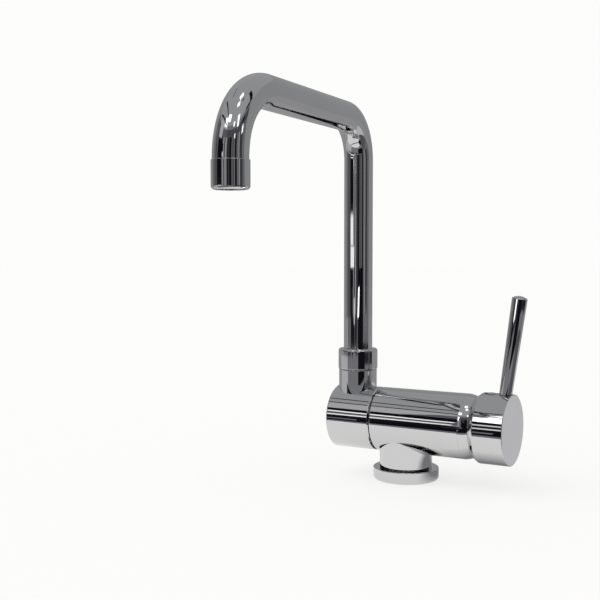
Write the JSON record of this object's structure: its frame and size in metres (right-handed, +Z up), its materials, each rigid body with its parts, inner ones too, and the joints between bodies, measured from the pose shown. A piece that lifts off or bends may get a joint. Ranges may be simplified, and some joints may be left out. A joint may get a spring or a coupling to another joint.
{
  "type": "folding caravan tap",
  "caption": "Chromed single-lever mixer tap for a caravan sink, with a tall swivel spout on a head that folds down about the barrel.",
  "frame": {"origin": "middle of the foot's underside, on the worktop", "axes": "+Z up, -Y forward over the sink (the spout rests 4.8 degrees from it, towards the lever), +X along the barrel to the lever"},
  "size_m": [0.1354, 0.219, 0.2573],
  "materials": {
    "chrome": "polished plating",
    "brass": "turned",
    "steel": "turned",
    "rubber": "moulded",
    "grey_plastic": "moulded",
    "white_plastic": "moulded",
    "black_plastic": "moulded",
    "ceramic": "lapped"
  },
  "bodies": {
    "body": {"base_flange": "chrome", "base_gasket": "rubber", "tap_body": "chrome", "fold_axle": "brass", "axle_seals": "rubber", "thrust_washer": "black_plastic", "retaining_washer": "steel", "retaining_screw": "steel", "cartridge_base": "grey_plastic", "port_seals": "rubber", "fixed_disc": "ceramic", "cartridge_housing": "white_plastic", "cartridge_nut": "brass", "dome_ring": "chrome"},
    "head": {"fold_head": "chrome", "fold_stop_pin": "steel", "head_end_cap": "chrome", "spout_nut": "chrome"},
    "spout": {"spout_tube": "chrome", "spout_spigot": "brass", "spout_seals": "rubber", "slip_ring": "white_plastic", "outlet_bush": "brass", "aerator_housing": "chrome", "aerator_washer": "rubber", "aerator_insert": "grey_plastic"},
    "turret": {"cartridge_turret": "grey_plastic", "stem_pin": "steel"},
    "handle": {"lever_hub": "chrome", "pin_lever": "chrome", "lever_stem": "steel", "grub_screw": "steel", "hub_plug": "chrome"},
    "disc": {"moving_disc": "ceramic", "disc_carrier": "black_plastic"}
  },
  "joints": [
    {"name": "fold", "type": "hinge", "parent": "body", "child": "head", "pos_m": [-0.0371, 0, 0.04], "axis": [1, 0, 0], "range_deg": [0, 90]},
    {"name": "swivel", "type": "hinge", "parent": "head", "child": "spout", "pos_m": [-0.0371, 0, 0.08], "axis": [0, 0, 1], "continuous": true},
    {"name": "temperature", "type": "hinge", "parent": "body", "child": "turret", "pos_m": [0.042, 0, 0.04], "axis": [1, 0, 0], "range_deg": [-50, 50]},
    {"name": "flow", "type": "hinge", "parent": "turret", "child": "handle", "pos_m": [0.042, 0, 0.04], "axis": [0, 1, 0], "range_deg": [0, 25]},
    {"name": "disc_slide", "type": "slide", "parent": "turret", "child": "disc", "axis": [0, 0, 1], "range_m": [0, 0.0053]}
  ],
  "couplings": [
    {"joint": "disc_slide", "follows": "flow", "m_per_rad": 0.012}
  ]
}
